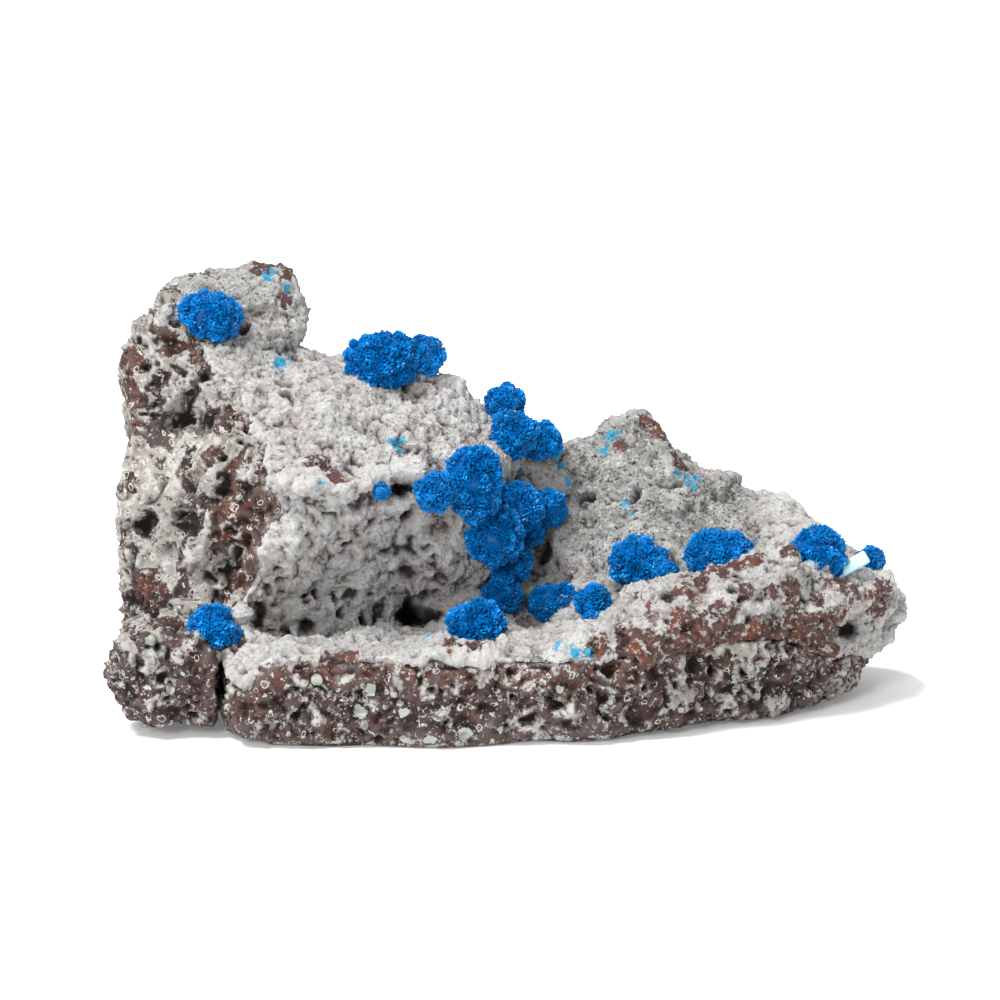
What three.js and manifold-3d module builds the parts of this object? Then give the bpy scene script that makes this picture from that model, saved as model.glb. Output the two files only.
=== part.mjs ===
// A cavansite specimen: a broken block of basalt breccia whose open hollow is lined with a grey drusy
// crust, on which deep blue cavansite has grown as spiny balls.
// Millimetres. +X runs to the right along the block, +Y away from the open front, +Z up.
// The block is a smooth union of rough stones, each the convex hull of its broken corners, less its
// hollows, with a noise over all of it. The crust is the outer layer of that block where the hollow was.

import * as THREE from "three";
import { ConvexHull } from "three/addons/math/ConvexHull.js";
import { ImprovedNoise } from "three/addons/math/ImprovedNoise.js";
import { mergeVertices } from "three/addons/utils/BufferGeometryUtils.js";
import Module from "manifold-3d";

const wasm = await Module();
wasm.setup();

// Driving dimensions
const CELL = 5.1; // spacing of the grid that the block's surface is read from
const CORE_CELL = 10; // the same for the hidden face between crust and basalt
const BLOCK_LOW = [-78, -43, -6];
const BLOCK_HIGH = [80, 45, 83];
const FILLET = 2.5; // how softly one stone runs into the next
const CRUST_DEPTH = 4; // the crust where it is whole; it thins out to nothing at its edges
const BARE_MARGIN = 6; // how far the core is kept outside the block where the basalt is bare
const JOINT_GAP = 0.35; // air between pieces that touch
const BREAKS = { height: 2.6, size: 13, seed: 7.3 }; // uneven breaks over the whole block
const KNOBS = { bareHeight: 0.9, crustHeight: 1.7, size: 5, seed: 2.7 }; // small lumps on top of them
const WELD = 1e-3; // vertices closer than this are one
const SETTLE_STEPS = 3; // steps that bring each vertex onto the surface
const PROBE = 0.3; // distance over which the field's slope is measured
const LEAST_SLOPE = 0.25; // a flatter field than this, squared, is taken as this steep

// Corners of the stones, as [x, y, z]
const STONES = {
  baseSlab: [
    [-46, -36, 0], [-10, -37, -2], [15, -34, 0], [31, -28.5, 1], [49, -19, 1], [59.5, -9, 3],
    [-45, -34.5, 16], [-20, -35, 15], [0, -35, 14], [16, -32.5, 16], [26, -31, 16.5],
    [69, 2, 9], [75.5, 5, 17.5], [65, 18, 14], [50, 30, 12], [20, 36, 14], [-30, 37, 14], [-62, 26, 14],
    [-66, -8, 14], [-60, -4, -4], [-56, 24, -3], [-28, 34, -4], [18, 33, -4], [48, 24, -3], [58, 8, -2],
  ],
  frontLeftBlock: [
    [-69, -31, 19], [-63, -31, 18], [-50, -32, 17.5], [-47.5, -31, 16], [-47, -32, 2], [-63, -31.5, 2],
    [-68, -30, 9], [-67, -18, 17], [-47, -12, 18], [-65, -12, 4], [-46, -10, 0], [-48, -31, 0],
  ],
  leftMass: [
    [-65, -10, 14], [-66.5, -16, 28], [-65.5, -12, 38], [-66, -9, 51], [-65.5, -6, 62], [-59.5, -2, 72.3],
    [-47, -18, 16], [-40, -20, 28], [-37, -21, 36], [-34.5, -19.5, 42], [-20, -17, 41.5], [-10, -14, 40],
    [-4, -8, 42], [-35, 4, 62], [-30, 6, 57.5], [-18, 8, 54], [-5, 8, 54], [6, 11, 43],
    [-6, -9, 16], [8, 10, 18], [-62, 24, 56], [-40, 26, 54], [-14, 22, 46], [4, 24, 32],
    [-62, 32, 20], [-20, 35, 18], [4, 32, 14],
  ],
  topCorner: [
    [-61.5, 4, 75], [-55, 7, 76], [-50.5, 8, 74], [-46, 9, 76], [-37, 8, 75.3], [-33, 5, 73],
    [-30.5, 1, 70], [-32, 0, 65.5], [-42, 2, 62], [-52, 3, 66], [-62, 3, 71], [-59, 20, 68],
    [-38, 19, 67], [-39, 14, 58], [-60, 20, 56],
  ],
  saddle: [
    [2, 10, 42], [4, 22, 42], [12, 12, 39], [13, 22, 41], [2, 30, 34], [14, 30, 34], [0, 4, 34], [12, 4, 33],
    [0, 30, 14], [14, 30, 14], [2, 0, 20], [12, 0, 20],
  ],
  hillPeak: [
    [11, 14, 40], [13.5, 20, 44], [17, 19, 48], [22.5, 18, 50], [26, 18, 50], [31, 19, 41.5],
    [35, 18, 36], [12, 28, 34], [24, 28, 38], [15, -4, 19], [24, -8, 21], [34, -10, 24], [10, 33, 12],
    [40, 30, 12], [8, 10, 16], [36, 10, 31],
  ],
  hillShoulder: [
    [30, 18, 36.5], [38, 18, 34.5], [41.5, 19, 34], [48.5, 18, 35], [54, 12, 30], [69, 6, 20],
    [34, -10, 24], [45, -11, 26], [52, -8, 27], [44, 27, 28], [62, 16, 16], [48, 32, 12], [24, 20, 16],
    [30, -8, 14],
  ],
  frontRidge: [
    [16, -31, 16.5], [20, -21, 24], [30, -22, 26.5], [34, -22, 29], [44, -20, 31.5], [49, -18.5, 32],
    [52, -15, 29], [57, -11, 27], [65, -4, 23], [76, 2, 21.5], [26, -31, 16.5], [36, -28.5, 19],
    [48, -23, 20], [53, -20, 16.5], [60, -11, 12], [20, -14, 18], [48, -10, 24], [62, 4, 18], [67, 2, 9],
    [24, -24, 6], [50, -16, 6],
  ],
};

// Hollows, as a centre and three half widths
const HOLLOWS = {
  niche: { at: [-50, -5, 70], half: [7.5, 6, 5.5] },
  browRecess: { at: [-24, -19, 20], half: [17, 7, 5.5] },
  browHoleRight: { at: [-17, -10, 19], half: [7, 10, 4] },
  browHoleLeft: { at: [-36, -12, 18.5], half: [7.5, 10, 3.2] },
  frontDish: { at: [-15, -19, 29], half: [8, 6, 6] },
  leftFaceHollow: { at: [-54, -16, 53], half: [4, 6, 6] },
  leftFacePocket: { at: [-59, -20, 34], half: [6.5, 4, 4] },
  leftFaceEye: { at: [-47, -22, 27.5], half: [4, 5, 4] },
  endHollow: { at: [60, -12, 16], half: [6, 5, 3] },
  valley: { at: [6, -6, 26], half: [7, 13, 12] },
};

// The crack between the front left block and the slab, seen from above
const CRACK = [[-48.6, -44], [-46.2, -44], [-47, -30], [-48.6, -17], [-50.2, -17], [-49, -30]];
const CRACK_TOP = 24;

// Where the crust stops. On the left it ends along the broken corner of the rock, seen from the front as
// [x, z]. In front it ends along a lip, as [x, y, z]. Behind it ends past the crest, seen from above as
// [x, y]. Below it ends over the floor.
const BROKEN_CORNER = [
  [-47.8, -60], [-47.8, 17.5], [-45.2, 22], [-39.9, 28.4], [-36.8, 32.7], [-37.3, 36.5], [-41.2, 44.6],
  [-43.4, 49.4], [-45.2, 58.2], [-57.5, 71.3], [-57.5, 140], [-140, 140], [-140, -60],
];
const LIP = [
  [-80, -35, 16], [-43, -34, 15.9], [-9, -34, 14], [8, -33, 14.8], [26, -30, 16.5], [36, -28, 18.8],
  [47.6, -23, 19.9], [53.2, -20, 16.5], [60, -12, 11.8], [72, 2, 8], [90, 6, 8],
];
const CRUST_FLOOR = 7;
const CREST = [[-80, 12], [-30, 13], [0, 16], [12, 22], [30, 23], [50, 21], [60, 14], [90, 8]];

// Cavansite balls, as [x, y, z, radius]. Balls in one row grew into each other.
const BALLS = {
  cavansite_niche: [[-52, -1.7, 68.7, 4.2], [-49.3, -1.2, 68, 4.2]],
  cavansite_crown: [[-22.5, 2.4, 59.4, 5.2], [-19.5, 3.6, 59.8, 5], [-13.7, 7, 60, 3.7]],
  cavansite_upper_trail: [[0.4, 8.3, 51.2, 3.6], [1.8, 4, 46.3, 4.3], [7.2, 8, 44.4, 3.5]],
  cavansite_middle_trail: [
    [-5, -12, 42.4, 5.1], [-4.5, -11.5, 38, 4.2], [-11.5, -15.3, 40.2, 3.7], [2.8, -1, 34.5, 4.4],
    [4.4, 2, 29.7, 3.2], [8.2, 3.8, 33.4, 3.4], [-1.5, -7.5, 30.6, 5.3], [0.9, -2, 24.6, 4.3],
    [-0.2, -3.6, 19, 3.6],
  ],
  cavansite_floor: [[8, -2.5, 17.6, 3.6], [11, -2.5, 17.6, 3.6]],
  cavansite_fan: [[15.8, -10.5, 19.7, 3.3], [15.4, -14, 17.2, 1.9]],
  cavansite_ledge: [[-4.4, -22.5, 17.2, 5.6]],
  cavansite_ridge_left: [[23.7, -8.5, 25.9, 5], [27.8, -12, 25.4, 2.8]],
  cavansite_ridge_right: [[36, -13, 28.6, 4.5], [39, -13, 28.6, 4.3]],
  cavansite_end_large: [[54.6, -8.8, 27.7, 4.9]],
  cavansite_end_small: [[64.1, -0.8, 24.5, 3]],
  cavansite_gap: [[-49.7, -24.6, 16.5, 5.2]],
  cavansite_bud: [[-20.9, -17.2, 40.8, 1.7]],
};
const BALL_CELL = 0.55; // grid spacing for a ball, as a share of its cluster's largest radius
const BALL_FILLET = 0.8; // how softly balls of one cluster run into each other
const SPINE = 0.35; // how far the points of a ball stand out, as a share of its radius
const SPINE_SIZE = 1.7; // distance between points

const noise = new ImprovedNoise();
const clamp = THREE.MathUtils.clamp;

// Noise with lumps of one size. The seed moves the pattern by a different amount along each axis.
function noiseAt([x, y, z], size, seed) {
  return noise.noise(x / size + seed, y / size + 1.7 * seed, z / size + 2.3 * seed);
}

// Each coordinate of a line of points after the first, at one x
function alongLine(line, x) {
  const next = clamp(line.findIndex((point) => point[0] > x), 1, line.length - 1);
  const [from, to] = [line[next - 1], line[next]];
  const share = (x - from[0]) / (to[0] - from[0]);
  return from.slice(1).map((value, i) => THREE.MathUtils.lerp(value, to[i + 1], share));
}

// Distance to an outline, negative inside it
function outlineDistance(outline, x, z) {
  let nearest = Infinity;
  let inside = false;
  outline.forEach(([ax, az], i) => {
    const [bx, bz] = outline[(i + 1) % outline.length];
    const [ex, ez] = [bx - ax, bz - az];
    const share = clamp(((x - ax) * ex + (z - az) * ez) / (ex * ex + ez * ez), 0, 1);
    nearest = Math.min(nearest, Math.hypot(x - ax - share * ex, z - az - share * ez));
    if (az > z !== bz > z && x < ax + (ex * (z - az)) / ez) inside = !inside;
  });
  return inside ? -nearest : nearest;
}

// How far a point is within the part of the block that the crust covers, negative where basalt is bare
function coverOf([x, y, z]) {
  const fromCorner = outlineDistance(BROKEN_CORNER, x, z);
  const [lipY, lipZ] = alongLine(LIP, x);
  const fromLip = (y - lipY + z - lipZ) * Math.SQRT1_2;
  const [crestY] = alongLine(CREST, x);
  return Math.min(fromCorner, fromLip, crestY - y, z - CRUST_FLOOR);
}

// How far a point is outside the convex hull of some corners
function hullDistance(corners) {
  const { faces } = new ConvexHull().setFromPoints(corners.map((c) => new THREE.Vector3(...c)));
  const planes = faces.map(({ normal, constant }) => [normal.x, normal.y, normal.z, constant]);
  return ([x, y, z]) => Math.max(...planes.map(([a, b, c, d]) => a * x + b * y + c * z - d));
}

function ellipsoidDistance({ at, half }, point) {
  const scaled = point.map((value, axis) => (value - at[axis]) / half[axis]);
  return (Math.hypot(...scaled) - 1) * Math.min(...half);
}

function smoothMin(a, b, width) {
  const blend = Math.max(width - Math.abs(a - b), 0) / width;
  return Math.min(a, b) - (blend * blend * width) / 4;
}

const stones = Object.values(STONES).map(hullDistance);
const hollows = Object.values(HOLLOWS);

// The block before its fine relief: negative in the stone, positive in the air
function broadField(point) {
  let field = stones.map((stone) => stone(point)).reduce((a, b) => smoothMin(a, b, FILLET));
  for (const hollow of hollows) {
    field = -smoothMin(-field, ellipsoidDistance(hollow, point), FILLET);
  }
  return field + BREAKS.height * noiseAt(point, BREAKS.size, BREAKS.seed);
}

// The whole block: knobs stand out on the crust, smaller chips on the bare basalt
function blockField(point) {
  const covered = clamp(coverOf(point) / CRUST_DEPTH, 0, 1);
  const height = THREE.MathUtils.lerp(KNOBS.bareHeight, KNOBS.crustHeight, covered);
  return broadField(point) + height * noiseAt(point, KNOBS.size, KNOBS.seed);
}

// The basalt under the crust. It reaches past the block's own surface wherever there is no crust.
function coreField(point) {
  return broadField(point) + clamp(coverOf(point), -BARE_MARGIN, CRUST_DEPTH);
}

// The corners of a grid cell, and its twelve edges as [lower corner, upper corner, axis]
const CORNERS = [0, 1, 2, 3, 4, 5, 6, 7].map((c) => [c & 1, (c >> 1) & 1, (c >> 2) & 1]);
const EDGES = CORNERS.flatMap((corner, c) =>
  [0, 1, 2].filter((axis) => !corner[axis]).map((axis) => [c, c | (1 << axis), axis]),
);
const SIDES = [0, 1, 2].flatMap((axis) => [0, 1].map((side) => [axis, side]));

// Which crossed edges of a cell belong to one sheet of the surface
function sheetsOf(inside) {
  const sheet = EDGES.map(([a, b], e) => (inside[a] !== inside[b] ? e : -1));
  const join = (e, f) => {
    const [from, to] = [sheet[e], sheet[f]];
    sheet.forEach((s, i) => {
      if (s === from) sheet[i] = to;
    });
  };
  for (const [axis, side] of SIDES) {
    const onSide = (c) => CORNERS[c][axis] === side;
    const crossed = EDGES.flatMap(([a, b], e) => (sheet[e] >= 0 && onSide(a) && onSide(b) ? [e] : []));
    if (crossed.length === 2) join(...crossed);
    if (crossed.length === 4) {
      for (let c = 0; c < 8; c++) {
        if (onSide(c) && inside[c]) join(...crossed.filter((e) => EDGES[e].slice(0, 2).includes(c)));
      }
    }
  }
  return sheet;
}

// Moves a point of a cell onto the surface where a field is 0, without leaving the cell
function settle(field, start, cellLow, cellHigh, steps) {
  let point = start;
  for (let step = 0; step < steps; step++) {
    const value = field(point);
    const slope = [0, 1, 2].map((axis) => {
      const ahead = point.map((coordinate, i) => coordinate + (i === axis ? PROBE : 0));
      return (field(ahead) - value) / PROBE;
    });
    const steepness = Math.max(slope[0] ** 2 + slope[1] ** 2 + slope[2] ** 2, LEAST_SLOPE);
    point = point.map((coordinate, i) => {
      const moved = coordinate - (value * slope[i]) / steepness;
      return clamp(moved, cellLow[i], cellHigh[i]);
    });
  }
  return point;
}

// A closed mesh of the surface where a field is 0, with one vertex for each sheet in each cell
function surfaceOf(field, cell, steps, low = BLOCK_LOW, high = BLOCK_HIGH) {
  const [nx, ny, nz] = low.map((value, axis) => Math.ceil((high[axis] - value) / cell) + 1);
  const place = (i, j, k) => [low[0] + i * cell, low[1] + j * cell, low[2] + k * cell];
  const indexOf = (i, j, k) => i + nx * (j + ny * k);
  const values = new Float64Array(nx * ny * nz);
  for (let k = 0; k < nz; k++) {
    for (let j = 0; j < ny; j++) {
      for (let i = 0; i < nx; i++) values[indexOf(i, j, k)] = field(place(i, j, k));
    }
  }

  const positions = [];
  const around = new Map(); // crossed grid edge -> the vertices of the four cells that share it
  for (let k = 0; k < nz - 1; k++) {
    for (let j = 0; j < ny - 1; j++) {
      for (let i = 0; i < nx - 1; i++) {
        const at = CORNERS.map(([a, b, c]) => indexOf(i + a, j + b, k + c));
        const value = at.map((index) => values[index]);
        const inside = value.map((v) => v < 0);
        if (inside.every((v) => v === inside[0])) continue;
        const sheet = sheetsOf(inside);
        for (const name of new Set(sheet.filter((s) => s >= 0))) {
          const sum = new THREE.Vector3();
          let crossings = 0;
          EDGES.forEach(([a, b, axis], e) => {
            if (sheet[e] !== name) return;
            const share = value[a] / (value[a] - value[b]);
            const point = CORNERS[a].map((bit, x) => bit + (x === axis ? share : 0));
            sum.add(new THREE.Vector3(...point));
            crossings += 1;
            const [u, v] = [(axis + 1) % 3, (axis + 2) % 3];
            const key = at[a] * 3 + axis;
            if (!around.has(key)) around.set(key, { flip: inside[b], ring: [] });
            const slot = CORNERS[a][u] + 2 * CORNERS[a][v];
            around.get(key).ring[slot] = positions.length / 3;
          });
          const centre = sum.divideScalar(crossings);
          const start = place(i + centre.x, j + centre.y, k + centre.z);
          positions.push(...settle(field, start, place(i, j, k), place(i + 1, j + 1, k + 1), steps));
        }
      }
    }
  }

  const index = [];
  for (const { flip, ring } of around.values()) {
    const [a, b, c, d] = [ring[0], ring[1], ring[3], ring[2]];
    if (flip) index.push(a, c, b, a, d, c);
    else index.push(a, b, c, a, c, d);
  }
  return new THREE.BufferGeometry()
    .setAttribute("position", new THREE.Float32BufferAttribute(positions, 3))
    .setIndex(index);
}

function solidOf(geometry) {
  const bare = geometry.index ? geometry.toNonIndexed() : geometry.clone();
  bare.deleteAttribute("normal");
  bare.deleteAttribute("uv");
  const merged = mergeVertices(bare, WELD);
  return new wasm.Manifold(
    new wasm.Mesh({
      numProp: 3,
      vertProperties: merged.attributes.position.array,
      triVerts: new Uint32Array(merged.index.array),
    }),
  );
}

function geometryOf(solid) {
  const { vertProperties, triVerts } = solid.getMesh();
  return new THREE.BufferGeometry()
    .setAttribute("position", new THREE.BufferAttribute(vertProperties, 3))
    .setIndex(new THREE.BufferAttribute(triVerts, 1));
}

// The largest body of a solid, without the crumbs that hang on it by a point
function largestBody(solid) {
  const largest = (whole) =>
    whole.decompose().reduce((best, body) => (body.volume() > best.volume() ? body : best));
  return largest(solidOf(geometryOf(largest(solid))));
}

// Everything below z = 0, where the block is cut flat to stand on
function groundSolid() {
  const [width, depth] = [0, 1].map((axis) => 2 * (BLOCK_HIGH[axis] - BLOCK_LOW[axis]));
  const height = -2 * BLOCK_LOW[2];
  return solidOf(new THREE.BoxGeometry(width, depth, height).translate(0, 0, -height / 2));
}

function crackSolid() {
  const outline = new THREE.Shape(CRACK.map(([x, y]) => new THREE.Vector2(x, y)));
  const wedge = new THREE.ExtrudeGeometry(outline, { depth: CRACK_TOP - BLOCK_LOW[2], bevelEnabled: false });
  return solidOf(wedge.translate(0, 0, BLOCK_LOW[2]));
}

// Spiny balls of crystals that grew into each other
function ballsSolid(balls) {
  const largest = Math.max(...balls.map((ball) => ball[3]));
  const spinyField = (point) => {
    const field = balls
      .map(([x, y, z, radius]) => Math.hypot(point[0] - x, point[1] - y, point[2] - z) - radius)
      .reduce((a, b) => smoothMin(a, b, BALL_FILLET));
    return field + SPINE * largest * noiseAt(point, SPINE_SIZE, 0);
  };
  const low = [0, 1, 2].map((axis) => Math.min(...balls.map((ball) => ball[axis] - ball[3])) - largest);
  const high = [0, 1, 2].map((axis) => Math.max(...balls.map((ball) => ball[axis] + ball[3])) + largest);
  return solidOf(surfaceOf(spinyField, BALL_CELL * largest, SETTLE_STEPS, low, high));
}

const grownBlockField = (point) => blockField(point) - JOINT_GAP;
const shrunkCoreField = (point) => coreField(point) + JOINT_GAP;
const rawBlock = solidOf(surfaceOf(blockField, CELL, SETTLE_STEPS));
const block = largestBody(rawBlock.subtract(crackSolid()).subtract(groundSolid()));
const grownBlock = solidOf(surfaceOf(grownBlockField, CELL, SETTLE_STEPS)).add(block);
const core = solidOf(surfaceOf(coreField, CORE_CELL, 0));
const shrunkCore = solidOf(surfaceOf(shrunkCoreField, CORE_CELL, 0));

function meshOf(name, solid, color, roughness) {
  const mesh = new THREE.Mesh(
    geometryOf(largestBody(solid)),
    new THREE.MeshStandardMaterial({ color, roughness, metalness: 0 }),
  );
  mesh.name = name;
  return mesh;
}

const group = new THREE.Group();
group.add(meshOf("basalt_matrix", block.intersect(shrunkCore), 0x5c4642, 0.9));
group.add(meshOf("drusy_crust", block.subtract(core.add(shrunkCore)), 0xbdb5ae, 0.7));
for (const [name, balls] of Object.entries(BALLS)) {
  group.add(meshOf(name, ballsSolid(balls).subtract(grownBlock), 0x0a62ae, 0.4));
}

// The origin is under the middle of the whole specimen
const bounds = new THREE.Box3().setFromObject(group);
const middle = bounds.getCenter(new THREE.Vector3());
group.position.set(-middle.x, -middle.y, -bounds.min.z);

export default group;
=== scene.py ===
# %% [markdown]
# A cavansite specimen, in Blender
#
# The real object is a broken block of basalt. Its hollow is lined with a pale drusy crust of tiny crystals,
# and on the crust sit deep blue balls of cavansite, made of hundreds of thin blades each. The CAD frame
# holds every part at its true size and place. This script gives them relief, blades and colours.

import itertools
import math

import bmesh
import bpy
import numpy as np
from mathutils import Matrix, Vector
from mathutils.bvhtree import BVHTree
from mathutils.kdtree import KDTree


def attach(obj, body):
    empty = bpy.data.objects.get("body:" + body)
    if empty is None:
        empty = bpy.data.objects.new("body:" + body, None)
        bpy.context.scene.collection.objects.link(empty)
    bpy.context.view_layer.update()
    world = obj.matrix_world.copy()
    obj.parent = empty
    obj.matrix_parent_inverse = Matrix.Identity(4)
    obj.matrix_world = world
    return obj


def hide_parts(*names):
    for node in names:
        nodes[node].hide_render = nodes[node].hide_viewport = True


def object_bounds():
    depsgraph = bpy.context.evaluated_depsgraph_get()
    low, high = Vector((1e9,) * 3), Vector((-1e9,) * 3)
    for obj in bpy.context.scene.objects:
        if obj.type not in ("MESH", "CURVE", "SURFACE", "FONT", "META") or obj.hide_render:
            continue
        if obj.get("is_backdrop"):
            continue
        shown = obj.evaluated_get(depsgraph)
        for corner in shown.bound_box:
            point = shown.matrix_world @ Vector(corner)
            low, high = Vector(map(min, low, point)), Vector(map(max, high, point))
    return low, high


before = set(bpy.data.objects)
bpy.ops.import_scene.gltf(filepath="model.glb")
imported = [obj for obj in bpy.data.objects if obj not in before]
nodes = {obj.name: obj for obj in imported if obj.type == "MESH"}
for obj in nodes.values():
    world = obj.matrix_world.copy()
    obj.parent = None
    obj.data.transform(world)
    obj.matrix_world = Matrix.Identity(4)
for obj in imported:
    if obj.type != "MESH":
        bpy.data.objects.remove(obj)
cad_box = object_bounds()
MM = 0.001
print("CAD nodes:", len(nodes))
print("CAD box, mm:", [[round(value / MM, 1) for value in corner] for corner in cad_box])

# %% [markdown]
# Working copies of the solids
#
# A CAD node is loose triangles, so a piece starts as a copy of it with its doubles merged. The copy is
# remeshed with small even voxels, so that fine relief has points to stand on, and smoothed until the
# solid's flat triangles no longer show. The frame's own nodes are never touched.


# %% Copying and remeshing
MERGE_DISTANCE = 0.001 * MM
SMOOTHING_FACTOR = 0.5


def new_object(name, data):
    made = bpy.data.objects.new(name, data)
    bpy.context.scene.collection.objects.link(made)
    return made


def make_active(piece):
    bpy.ops.object.select_all(action="DESELECT")
    piece.select_set(True)
    bpy.context.view_layer.objects.active = piece


def copy_of(node_name, piece_name):
    piece = nodes[node_name].copy()
    piece.data = nodes[node_name].data.copy()
    piece.name = piece_name
    piece.data.name = piece_name
    piece.parent = None
    piece.data.materials.clear()
    bpy.context.scene.collection.objects.link(piece)
    make_active(piece)
    bpy.ops.object.mode_set(mode="EDIT")
    bpy.ops.mesh.select_all(action="SELECT")
    bpy.ops.mesh.remove_doubles(threshold=MERGE_DISTANCE)
    bpy.ops.object.mode_set(mode="OBJECT")
    return piece


def apply_modifiers(piece):
    make_active(piece)
    for modifier in list(piece.modifiers):
        bpy.ops.object.modifier_apply(modifier=modifier.name)


def remesh(piece, voxel, smoothing_rounds):
    even = piece.modifiers.new("Even", "REMESH")
    even.mode = "VOXEL"
    even.voxel_size = voxel
    even.use_smooth_shade = True
    soft = piece.modifiers.new("Soft", "SMOOTH")
    soft.factor = SMOOTHING_FACTOR
    soft.iterations = smoothing_rounds
    apply_modifiers(piece)


# %% [markdown]
# Points as arrays
#
# Relief on a rock is a sum of small moves along the surface's normal. Worked out for all points at once as
# arrays, it takes a second where a loop takes minutes. The same arrays give the masks that the materials
# read, so a pit and its pale lining always fall together.


# %% Points, normals and masks
def vectors_of(piece, kind):
    flat = np.empty(len(piece.data.vertices) * 3)
    piece.data.vertices.foreach_get(kind, flat)
    return flat.reshape(-1, 3)


def points_of(piece):
    return vectors_of(piece, "co") / MM


def normals_of(piece):
    return vectors_of(piece, "normal")


def set_points(piece, points):
    piece.data.vertices.foreach_set("co", (points * MM).reshape(-1))
    piece.data.update()


def set_mask(piece, name, values):
    attribute = piece.data.attributes.new(name, "FLOAT", "POINT")
    attribute.data.foreach_set("value", np.clip(values, 0, 1).astype(np.float32))


def ramp(values, low, high):
    share = np.clip((values - low) / (high - low), 0, 1)
    return share * share * (3 - 2 * share)


# %% [markdown]
# Noise and cells
#
# Noise gives smooth lumps of one size. Cells give a scatter of separate things, such as gas bubbles or the
# lumps of the crust. Both start from a number worked out from a whole place and a seed, so they come out
# the same on every run.

# %% Noise for many points at once
LARGEST = 0xFFFFFF


def cell_random(cells, seed):
    """A number from 0 to 1 for each whole place, stirred with large odd numbers until it looks random."""
    stirred = cells @ np.array([374761393, 668265263, 1440662683]) + seed * 974634777
    stirred = (stirred ^ (stirred >> 13)) * 1274126177
    stirred = stirred ^ (stirred >> 16)
    return (stirred & LARGEST) / LARGEST


def noise_at(points, size, seed):
    """Smooth lumps of one size in mm, from about -1 to 1."""
    grid = points / size + seed * 3.7
    cells = np.floor(grid).astype(np.int64)
    inner = grid - cells
    ease = inner * inner * inner * (inner * (inner * 6 - 15) + 10)
    total = np.zeros(len(points))
    for corner in itertools.product((0, 1), repeat=3):
        corner = np.array(corner)
        slope = np.stack([cell_random(cells + corner, seed + 31 * axis) for axis in range(3)], 1) * 2 - 1
        weight = np.prod(np.where(corner, ease, 1 - ease), 1)
        total += weight * np.sum(slope * (inner - corner), 1)
    return total * 1.6


def warp(points, size, amount, seed):
    moved = [noise_at(points, size, seed + 5 * axis) for axis in range(3)]
    return points + amount * np.stack(moved, 1)


def cells_at(points, size, seed):
    """Distance to the nearest and second nearest of scattered seeds, as shares of their spacing, and a
    random number for the nearest one."""
    grid = points / size
    cells = np.floor(grid).astype(np.int64)
    first = np.full(len(points), 9.0)
    second = np.full(len(points), 9.0)
    own = np.zeros(len(points))
    for corner in itertools.product((-1, 0, 1), repeat=3):
        near = cells + np.array(corner)
        place = near + np.stack([cell_random(near, seed + 17 * axis) for axis in range(3)], 1)
        distance = np.linalg.norm(place - grid, axis=1)
        closer = distance < first
        second = np.where(closer, first, np.minimum(second, distance))
        own = np.where(closer, cell_random(near, seed + 71), own)
        first = np.where(closer, distance, first)
    return first, second, own


print("a noise sample:", noise_at(np.array([[1.0, 2.0, 3.0]]), size=5, seed=1))

# %% [markdown]
# Basalt and crust, remeshed
#
# The crust is a skin on the basalt, so each has a side that nobody sees. A point is hidden if a step
# outwards from it ends inside the neighbour. Hidden sides get no relief and are thinned out, so that the
# fine mesh is spent where it shows.

# %% Even meshes for basalt and crust
BASALT_VOXEL = 0.5 * MM
CRUST_VOXEL = 0.44 * MM
BASALT_SMOOTHING = 24
CRUST_SMOOTHING = 14
basalt = copy_of("basalt_matrix", "basalt_block")
crust = copy_of("drusy_crust", "crust_lining")


def surface_tree(piece):
    shape = bmesh.new()
    shape.from_mesh(piece.data)
    tree = BVHTree.FromBMesh(shape)
    shape.free()
    return tree


def inside_of(tree, points):
    inside = np.zeros(len(points), bool)
    for i, point in enumerate(points * MM):
        place, normal, _, _ = tree.find_nearest(point)
        inside[i] = (Vector(point) - place).dot(normal) < 0
    return inside


def add_lump(piece, centre, radii):
    """Joins an egg-shaped lump to a piece. The remesh that follows melts it in."""
    bpy.ops.mesh.primitive_ico_sphere_add(subdivisions=4, radius=1)
    lump = bpy.context.object
    for vertex in lump.data.vertices:
        vertex.co = Vector([(c + r * v) * MM for c, r, v in zip(centre, radii, vertex.co)])
    lump.select_set(True)
    bpy.context.view_layer.objects.active = piece
    piece.select_set(True)
    bpy.ops.object.join()


# %% [markdown]
# A fuller wall and a ledge under the brow
#
# The wall under the brow is spongy rock with small holes, so lumps fill the solid's wide cave there. A row
# of flat lumps gives the brow its rounded ledge. The remesh makes one skin of all.

# %% Lumps, then even meshes
# Each lump is its centre and its three radii, in mm.
UNDER_BROW = [((-37.5, -9.5, 18.0), (9.5, 6.8, 6.5)), ((-43.0, -11.5, 19.0), (5.0, 5.5, 5.0))]
BROW_LEDGE = [
    ((-35.8, -18.8, 42.2), (5.2, 3.6, 2.6)), ((-30.0, -18.0, 41.4), (5.0, 3.6, 2.6)),
    ((-25.6, -16.2, 42.4), (4.0, 3.4, 2.3)), ((-17.6, -12.6, 43.6), (4.0, 3.0, 2.2)),
]
for centre, radii in UNDER_BROW + BROW_LEDGE:
    add_lump(crust, centre, radii)

basalt_tree = surface_tree(basalt)
crust_tree = surface_tree(crust)
remesh(basalt, BASALT_VOXEL, BASALT_SMOOTHING)
remesh(crust, CRUST_VOXEL, CRUST_SMOOTHING)
print("points after the remesh:", len(basalt.data.vertices), len(crust.data.vertices))

# %% Points that nobody sees
HIDDEN_STEP = 0.9
UNDERSIDE = 0.25


def hidden_points(piece, neighbour_tree):
    return inside_of(neighbour_tree, points_of(piece) + HIDDEN_STEP * normals_of(piece))


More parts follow.
